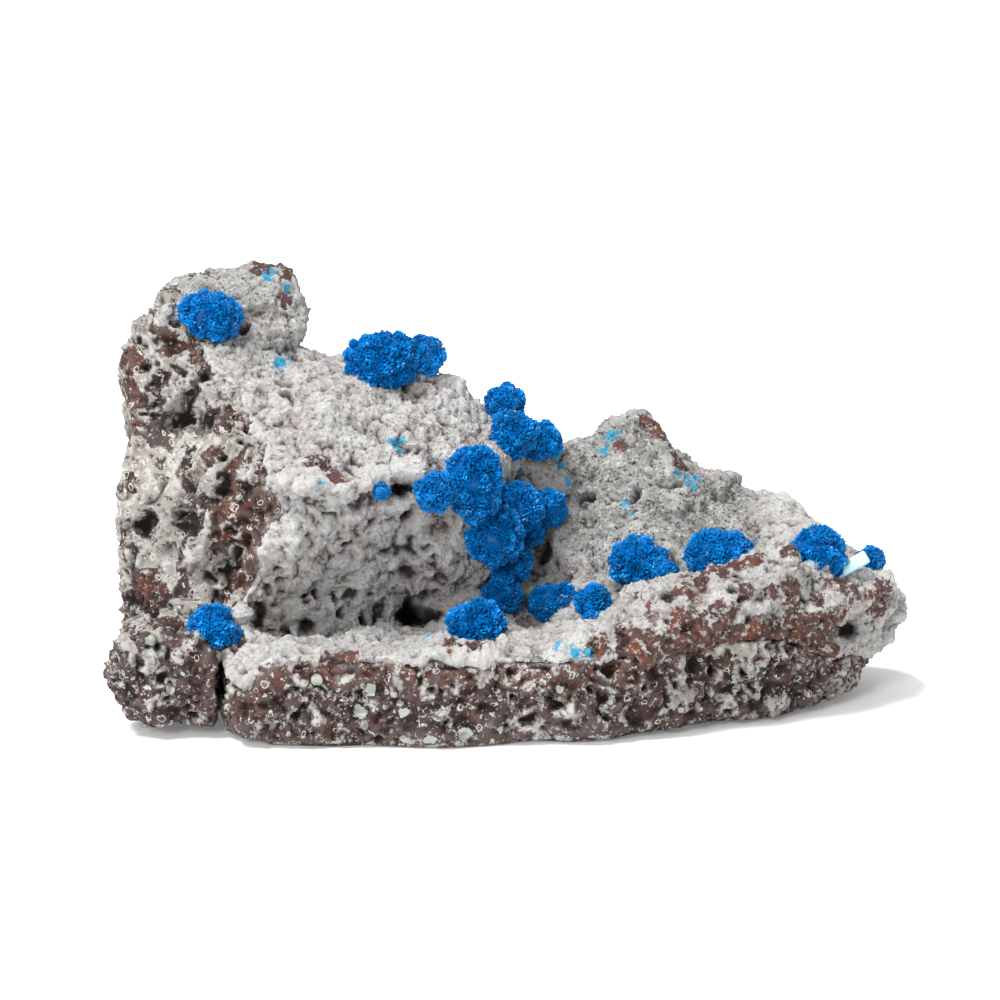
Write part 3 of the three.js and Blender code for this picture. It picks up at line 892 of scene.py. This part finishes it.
# %% Druse crystals
CRYSTALS = 15000
CRYSTAL_SIZES = (0.13, 0.30)
CRYSTAL_HEIGHT = 1.5
CRYSTAL_SUNK = 0.35
CRYSTAL_LEAN = 0.35
bpy.ops.mesh.primitive_cone_add(vertices=4, radius1=1, radius2=0, depth=CRYSTAL_HEIGHT)
point = bpy.context.object
bpy.ops.object.mode_set(mode="EDIT")
bpy.ops.mesh.quads_convert_to_tris()
bpy.ops.object.mode_set(mode="OBJECT")
point_points, point_faces = taken_apart(point)
point_points[:, 2] += CRYSTAL_HEIGHT / 2 - CRYSTAL_SUNK
can_stand = np.flatnonzero((crust_open > 0.9) & (bare < 0.5) & (crust_cavity < 0.35))
stands = random_source.choice(can_stand, min(CRYSTALS, len(can_stand)), replace=False)
upward = unit(normals_of(crust)[stands] + random_source.normal(0, CRYSTAL_LEAN, (len(stands), 3)))
sideways = unit(np.cross(upward, random_source.normal(0, 1, (len(stands), 3))))
forward = np.cross(upward, sideways)
sizes = random_source.uniform(*CRYSTAL_SIZES, len(stands))[:, None]
druse_points, druse_faces = copies_of(
    point_points, point_faces, crust_points[stands], sizes * sideways, sizes * forward, sizes * upward)
druse = piece_from("druse_crystals", druse_points, druse_faces)
for name, values in crust_masks.items():
    set_mask(druse, name, np.repeat(values[stands], len(point_points)))
print("druse crystals:", len(stands), "triangles:", len(druse.data.polygons))

# %% [markdown]
# Materials
#
# All colours are mixed from noise and from the masks, so nothing is painted from a picture. Small helpers
# keep each finish to a few readable lines.


# %% Node helpers
RING_BORDER = 0.04


def new_material(name):
    material = bpy.data.materials.new(name)
    material.use_nodes = True
    tree = material.node_tree
    return material, tree, tree.nodes["Principled BSDF"]


def add_node(tree, kind, **settings):
    node = tree.nodes.new("ShaderNode" + kind)
    for key, value in settings.items():
        setattr(node, key, value)
    return node


def put(tree, value, socket):
    """Gives a socket a number or a colour of red, green and blue, or links another socket to it."""
    if isinstance(value, tuple):
        socket.default_value = (*value, 1)
    elif isinstance(value, (int, float)):
        socket.default_value = value
    else:
        tree.links.new(value, socket)


def between(tree, value, low, high):
    """0 at the low value and 1 at the high one."""
    span = add_node(tree, "MapRange", clamp=True)
    for name, given_value in (("Value", value), ("From Min", low), ("From Max", high)):
        put(tree, given_value, span.inputs[name])
    return span.outputs["Result"]


def mask_of(tree, name):
    return add_node(tree, "Attribute", attribute_name=name).outputs["Fac"]


def times(tree, a, b):
    product = add_node(tree, "Math", operation="MULTIPLY")
    put(tree, a, product.inputs[0])
    put(tree, b, product.inputs[1])
    return product.outputs[0]


def mixed(tree, mask, under, over):
    """The colour over, where the mask is 1, and the colour under, where it is 0."""
    mix = add_node(tree, "Mix", data_type="RGBA")
    put(tree, mask, mix.inputs["Factor"])
    put(tree, under, mix.inputs[6])
    put(tree, over, mix.inputs[7])
    return mix.outputs[2]


def rings(tree, spacing, inner, outer, kept):
    """Small round outlines scattered through the stone, like the lining of gas bubbles that were cut."""
    place = add_node(tree, "TexCoord").outputs["Object"]
    uneven = add_node(tree, "TexNoise")
    put(tree, 1.3 / spacing, uneven.inputs["Scale"])
    put(tree, place, uneven.inputs["Vector"])
    moved = add_node(tree, "VectorMath", operation="MULTIPLY_ADD")
    moved.inputs[1].default_value = (spacing, spacing, spacing)
    put(tree, uneven.outputs["Color"], moved.inputs[0])
    put(tree, place, moved.inputs[2])
    seeds = add_node(tree, "TexVoronoi")
    put(tree, 1 / spacing, seeds.inputs["Scale"])
    put(tree, moved.outputs[0], seeds.inputs["Vector"])
    distance = seeds.outputs["Distance"]
    band = between(tree, distance, inner - RING_BORDER, inner)
    band = times(tree, band, between(tree, distance, outer + RING_BORDER, outer))
    return times(tree, band, between(tree, seeds.outputs["Color"], kept, kept + RING_BORDER / 2))


def finished(tree, shader, colour, roughness, specular=0.5):
    put(tree, colour, shader.inputs["Base Color"])
    put(tree, roughness, shader.inputs["Roughness"])
    put(tree, specular, shader.inputs["Specular IOR Level"])


def bumped(tree, shader, height, distance):
    bump = add_node(tree, "Bump")
    put(tree, distance, bump.inputs["Distance"])
    put(tree, height, bump.inputs["Height"])
    put(tree, bump.outputs["Normal"], shader.inputs["Normal"])


# %% [markdown]
# Grain and ragged borders
#
# Two effects serve more than one finish, so each is a node group, built once. Grain is noise on object
# coordinates, stretched between two values into a mask, and basalt, crust and prism use it. A ragged
# border, on basalt and crust, cuts a smooth field into a mask whose edge is sharp and made uneven by fine
# noise, the way a broken crust ends.


# %% Shared node groups
def new_group(name, inputs):
    group = bpy.data.node_groups.new(name, "ShaderNodeTree")
    for input_name in inputs:
        group.interface.new_socket(input_name, in_out="INPUT", socket_type="NodeSocketFloat")
    group.interface.new_socket("Mask", in_out="OUTPUT", socket_type="NodeSocketFloat")
    given = group.nodes.new("NodeGroupInput").outputs
    return group, given, group.nodes.new("NodeGroupOutput").inputs["Mask"]


def noise_in(group, scale, detail, roughness):
    texture = add_node(group, "TexNoise")
    place = add_node(group, "TexCoord")
    group.links.new(place.outputs["Object"], texture.inputs["Vector"])
    for name, value in (("Scale", scale), ("Detail", detail), ("Roughness", roughness)):
        put(group, value, texture.inputs[name])
    return texture.outputs["Fac"]


grain_group, given, mask = new_group("grain", ["Scale", "Detail", "Roughness", "Low", "High"])
grain = noise_in(grain_group, given["Scale"], given["Detail"], given["Roughness"])
grain_group.links.new(between(grain_group, grain, given["Low"], given["High"]), mask)

ragged_group, given, mask = new_group("ragged_border", ["Field", "Scale", "Spread", "Low", "High"])
grain = between(ragged_group, noise_in(ragged_group, given["Scale"], 5.0, 0.7), 0.3, 0.7)
uneven = add_node(ragged_group, "Math", operation="MULTIPLY_ADD")
put(ragged_group, grain, uneven.inputs[0])
put(ragged_group, given["Spread"], uneven.inputs[1])
put(ragged_group, given["Field"], uneven.inputs[2])
ragged_group.links.new(between(ragged_group, uneven.outputs[0], given["Low"], given["High"]), mask)


def placed_group(tree, group, **values):
    node = add_node(tree, "Group", node_tree=group)
    for name, value in values.items():
        put(tree, value, node.inputs[name])
    return node.outputs["Mask"]


def object_noise(tree, size, detail=4.0, rough=0.6, low=0.35, high=0.65):
    """A mask from noise whose lumps have the given size in mm."""
    return placed_group(tree, grain_group, Scale=1 / (size * MM), Detail=detail, Roughness=rough,
                        Low=low, High=high)


def speckled(tree, under, over, *noise, mask=None):
    """The colour over on the colour under, in the lumps of a noise, and only where the mask allows it."""
    share = object_noise(tree, *noise)
    if mask:
        share = times(tree, mask_of(tree, mask), share)
    return mixed(tree, share, under, over)


def crisp(tree, name, grain_size, spread, cut, soft=0.03):
    """A stored mask cut at a value, so that its border is sharp and ragged."""
    middle = cut + spread / 2
    return placed_group(tree, ragged_group, Field=mask_of(tree, name), Scale=1 / (grain_size * MM),
                        Spread=spread, Low=middle - soft, High=middle + soft)


print("node groups:", [group.name for group in bpy.data.node_groups])

# %% [markdown]
# Finish of the basalt
#
# Basalt is nearly black when fresh and turns brown and rusty with age. Noise mixes the dark and the brown,
# and the masks add rust, grey edges, pale patches and painted shade in the hollows. They came with the
# relief, so the pale patches are the raised ones. Rings around scattered cells give the rims of cut bubbles.

# %% Finish of the basalt
BASALT_DARK = (0.03, 0.018, 0.019)
BASALT_BROWN = (0.12, 0.06, 0.052)
BASALT_RUST = (0.2, 0.058, 0.03)
BASALT_GREY = (0.2, 0.16, 0.15)
PATCH_GREY = (0.49, 0.46, 0.425)
PATCH_BROWN = (0.2, 0.15, 0.12)
PALE_MINERAL = (0.76, 0.74, 0.7)
GREEN_MINERAL = (0.62, 0.66, 0.59)
# Nearly black: painted shade in the hollows, and the dark rim round each filled bubble.
PAINTED_SHADE_AND_SPOT_RIM = (0.018, 0.011, 0.01)
stone, tree, shader = new_material("basalt")
colour = speckled(tree, BASALT_DARK, BASALT_BROWN, 2.2, 5, 0.7, 0.42, 0.58)
colour = speckled(tree, colour, BASALT_RUST, 3, 4, 0.7, 0.42, 0.6, mask="rust")
colour = mixed(tree, times(tree, mask_of(tree, "edge"), 0.5), colour, BASALT_GREY)
patch_colour = speckled(tree, PATCH_GREY, PATCH_BROWN, 4, 4, 0.65, 0.5, 0.64)
patch_colour = speckled(tree, patch_colour, BASALT_BROWN, 1.3, 5, 0.75, 0.555, 0.58)
patch = crisp(tree, "patch", 2.0, 0.6, 0.5)
colour = mixed(tree, patch, colour, patch_colour)
patch_rim = times(tree, patch, between(tree, mask_of(tree, "patch"), 0.80, 0.50))
patch_rim = times(tree, patch_rim, object_noise(tree, 1.2, 4.0, 0.7, 0.42, 0.58))
colour = mixed(tree, patch_rim, colour, PALE_MINERAL)
colour = speckled(tree, colour, PATCH_GREY, 0.8, 3, 0.6, 0.6, 0.64)
colour = speckled(tree, colour, PALE_MINERAL, 1.7, 5, 0.7, 0.625, 0.645)
colour = mixed(tree, rings(tree, 1.9 * MM, 0.24, 0.31, 0.55), colour, PALE_MINERAL)
colour = mixed(tree, rings(tree, 1.1 * MM, 0, 0.2, 0.66), colour, PALE_MINERAL)
# Painted shade: the hollows are coloured nearly black.
colour = mixed(tree, mask_of(tree, "cavity_shade"), colour, PAINTED_SHADE_AND_SPOT_RIM)
colour = speckled(tree, colour, PALE_MINERAL, 2.5, 4, 0.7, 0.46, 0.54, mask="lining")
colour = mixed(tree, crisp(tree, "spot", 1.5, 0.35, 0.42), colour, PAINTED_SHADE_AND_SPOT_RIM)
colour = mixed(tree, crisp(tree, "spot", 1.5, 0.35, 0.5), colour, GREEN_MINERAL)
finished(tree, shader, colour, roughness=0.8, specular=0.3)
bumped(tree, shader, object_noise(tree, 0.9, 8.0, 0.75, 0.2, 0.8), 1.3 * MM)
basalt.data.materials.append(stone)

# %% [markdown]
# Finish of the crust
#
# The crust is light grey with a breath of pink and brown, palest at its edges, and its pits and deep holes
# are darkened as painted shade. Fine pale dots all over are painted glints. On the hill behind, on the top
# chunk, at the foot of the hollow and on the spongy wall it is darker and speckled, partly a darker grey of
# the crust and partly painted shade, with dark pits painted as shade. Where it has broken off, the basalt's
# colours show with a ragged border. The blue smears are cavansite too fine to be seen as blades.

# %% Finish of the crust
CRUST_GREY = (0.6, 0.595, 0.58)
CRUST_PALE = (0.72, 0.71, 0.69)
# A darker grey, partly the crust's own colour and partly painted shade.
CRUST_DARK_GREY_AND_SHADE = (0.3, 0.305, 0.288)
CRUST_BROWN = (0.25, 0.2, 0.175)
CRUST_PINK = (0.52, 0.46, 0.45)
# Dark, for painted shade in the pits, the deep holes and the dark pits of the darker regions.
CRUST_PAINTED_SHADE = (0.055, 0.044, 0.04)
SMEAR_BLUE = (0.05, 0.42, 0.68)
lining_material, tree, shader = new_material("drusy_crust")
colour = speckled(tree, CRUST_GREY, CRUST_PINK, 9, 4, 0.6, 0.42, 0.62)
colour = speckled(tree, colour, CRUST_BROWN, 4, 5, 0.7, 0.56, 0.68)
colour = mixed(tree, times(tree, mask_of(tree, "edge"), 0.7), colour, CRUST_PALE)
# Darker grey over these regions, partly painted shade.
colour = speckled(tree, colour, CRUST_DARK_GREY_AND_SHADE, 6, 4, 0.6, 0.25, 0.6, mask="shade_and_dark_grey")
# Dark pits speckled over these regions are painted shade.
colour = speckled(tree, colour, CRUST_PAINTED_SHADE, 1, 4, 0.7, 0.57, 0.61, mask="shade_and_dark_grey")
pale_grains = times(tree, mask_of(tree, "shade_and_dark_grey"), object_noise(tree, 1.2, 4.0, 0.7, 0.58, 0.62))
colour = mixed(tree, times(tree, pale_grains, 0.7), colour, CRUST_PALE)
# Fine pale dots are painted glints of the tiny crystals.
colour = mixed(tree, times(tree, object_noise(tree, 0.7, 3, 0.6, 0.58, 0.64), 0.6), colour, CRUST_PALE)
# Painted shade: pits and deep holes are coloured dark.
colour = mixed(tree, mask_of(tree, "cavity_shade"), colour, CRUST_PAINTED_SHADE)
colour = mixed(tree, crisp(tree, "lip", 2, 0.6, 0.45, 0.1), colour, CRUST_PALE)
bare_colour = speckled(tree, BASALT_DARK, BASALT_BROWN, 2.2, 5, 0.7, 0.36, 0.54)
bare_colour = speckled(tree, bare_colour, BASALT_RUST, 3.5, 5, 0.7, 0.52, 0.6)
bare_colour = speckled(tree, bare_colour, PATCH_GREY, 1.2, 4, 0.7, 0.54, 0.6)
colour = mixed(tree, crisp(tree, "bare", 2.2, 0.5, 0.52), colour, bare_colour)
colour = mixed(tree, crisp(tree, "smear", 1.3, 1.1, 0.55, 0.06), colour, SMEAR_BLUE)
finished(tree, shader, colour, roughness=0.6, specular=0.35)
bumped(tree, shader, object_noise(tree, 0.6, 6.0, 0.7, 0.25, 0.75), 0.75 * MM)
crust.data.materials.append(lining_material)
druse.data.materials.append(lining_material)

# %% [markdown]
# Finish of the cavansite
#
# A blade is deep blue, and light that passes through its thin end makes the tip azure. Blades that let
# light through would be slow to render, so the colour follows two values on the points: how far up its
# blade a point lies, and the blade's own tone.

# %% Finish of the cavansite
BLADE_DEEP = (0, 0.066, 0.23)
BLADE_AZURE = (0, 0.205, 0.58)
# Cyan, for painted light at the brightest tips.
BLADE_CYAN = (0.22, 0.7, 0.9)
blue, tree, shader = new_material("cavansite")
colour = mixed(tree, mask_of(tree, "tone"), BLADE_DEEP, BLADE_AZURE)
colour = mixed(tree, between(tree, mask_of(tree, "tip"), 0.2, 0.9), BLADE_DEEP, colour)
# The brightest tips are painted cyan: painted light shining through and glinting on the thin ends.
painted_tip_light = times(tree, between(tree, mask_of(tree, "tip"), 0.93, 1.0),
                    between(tree, mask_of(tree, "tone"), 0.6, 1.0))
colour = mixed(tree, painted_tip_light, colour, BLADE_CYAN)
finished(tree, shader, colour, roughness=0.3, specular=0.15)
for piece in rosettes.values():
    piece.data.materials.append(blue)

# %% [markdown]
# A pale prism
#
# On the right end one stray crystal lies on the crust: a short, pale blue prism with a blunt end. It is a
# six-sided cylinder with softened edges, laid along the ridge and half sunk in the crust.

# %% Pale prism
PRISM_PLACE = (850, 566)
PRISM_LENGTH = 6.2
PRISM_RADIUS = 1.3
PRISM_BEVEL = 0.22
PRISM_DIRECTION = (0.78, 0.1, 0.45)
PRISM_LIFT = 0.3
PRISM_BLUE = (0.4, 0.68, 0.76)
prism_centre, prism_normal = seen_at(*PRISM_PLACE)
bpy.ops.mesh.primitive_cylinder_add(vertices=6, radius=PRISM_RADIUS * MM, depth=PRISM_LENGTH * MM)
prism = bpy.context.object
prism.name = "pale_prism"
bpy.ops.object.mode_set(mode="EDIT")
bpy.ops.mesh.select_all(action="SELECT")
bpy.ops.mesh.bevel(offset=PRISM_BEVEL * MM, segments=2)
bpy.ops.object.mode_set(mode="OBJECT")
prism_turn = Vector(PRISM_DIRECTION).to_track_quat("Z", "Y")
prism_shift = Vector(prism_centre + PRISM_LIFT * prism_normal) * MM
for vertex in prism.data.vertices:
    vertex.co = prism_turn @ vertex.co + prism_shift
prism.data.update()
pale, tree, shader = new_material("pale_prism")
shade = speckled(tree, PRISM_BLUE, CRUST_PALE, 1.5, 4, 0.6, 0.5, 0.7)
finished(tree, shader, shade, roughness=0.3)
prism.data.materials.append(pale)
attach(prism, "root")
print("prism at, mm:", prism_centre.round(1))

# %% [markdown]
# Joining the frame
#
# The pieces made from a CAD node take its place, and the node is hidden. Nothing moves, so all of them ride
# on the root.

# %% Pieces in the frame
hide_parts("basalt_matrix")
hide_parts("drusy_crust")
for node_name, piece in rosettes.items():
    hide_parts(node_name)
for piece in (basalt, crust, druse, *rosettes.values()):
    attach(piece, "root")

# %% [markdown]
# White floor and soft light
#
# The photograph has a white ground, a large soft light from the upper left and a faint shadow to the right.
# A wide sun gives the light, a lamp in front opens the shadows, and the sky is darker near the ground.

# %% Floor
FLOOR_SIZE = 6.0
FLOOR_WHITE = (0.86, 0.86, 0.86)
FLOOR_GLOW = 0.15
bpy.ops.mesh.primitive_plane_add(size=FLOOR_SIZE)
floor = bpy.context.object
floor.name = "floor"
floor_material, tree, shader = new_material("floor")
finished(tree, shader, FLOOR_WHITE, roughness=0.9)
put(tree, (1, 1, 1), shader.inputs["Emission Color"])
put(tree, FLOOR_GLOW, shader.inputs["Emission Strength"])
floor.data.materials.append(floor_material)
floor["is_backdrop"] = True

# %% Sky and lights
SKY_STRENGTH = 0.95
SUN_STRENGTH = 5.2
SUN_WIDTH = math.radians(20)
SUN_DIRECTION = (0.3, 0.2, -0.8)
LAMP_PLACE = (-0.3, -0.95, 0.45)
LAMP_SIZE = 0.3
LAMP_POWER = 6.5
world = bpy.data.worlds.new("white")
world.use_nodes = True
sky = world.node_tree
height = add_node(sky, "SeparateXYZ")
put(sky, add_node(sky, "TexCoord").outputs["Generated"], height.inputs["Vector"])
put(sky, between(sky, height.outputs["Z"], -0.1, 1.0), sky.nodes["Background"].inputs["Color"])
put(sky, SKY_STRENGTH, sky.nodes["Background"].inputs["Strength"])
bpy.context.scene.world = world


def new_light(name, kind, strength, direction):
    lamp_data = bpy.data.lights.new(name, kind)
    lamp_data.energy = strength
    lamp = new_object(name, lamp_data)
    lamp.rotation_euler = direction.to_track_quat("-Z", "Y").to_euler()
    return lamp


new_light("key", "SUN", SUN_STRENGTH, Vector(SUN_DIRECTION)).data.angle = SUN_WIDTH
front = new_light("front", "AREA", LAMP_POWER, CAMERA_TARGET - Vector(LAMP_PLACE))
front.data.shape = "DISK"
front.data.size = LAMP_SIZE
front.location = LAMP_PLACE
bpy.context.scene.view_settings.view_transform = "Standard"

# %% Finish
visual_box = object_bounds()
growth = [[round((v - c) / MM, 2) for v, c in zip(*pair)] for pair in zip(visual_box, cad_box)]
print("grown by, mm:", growth)
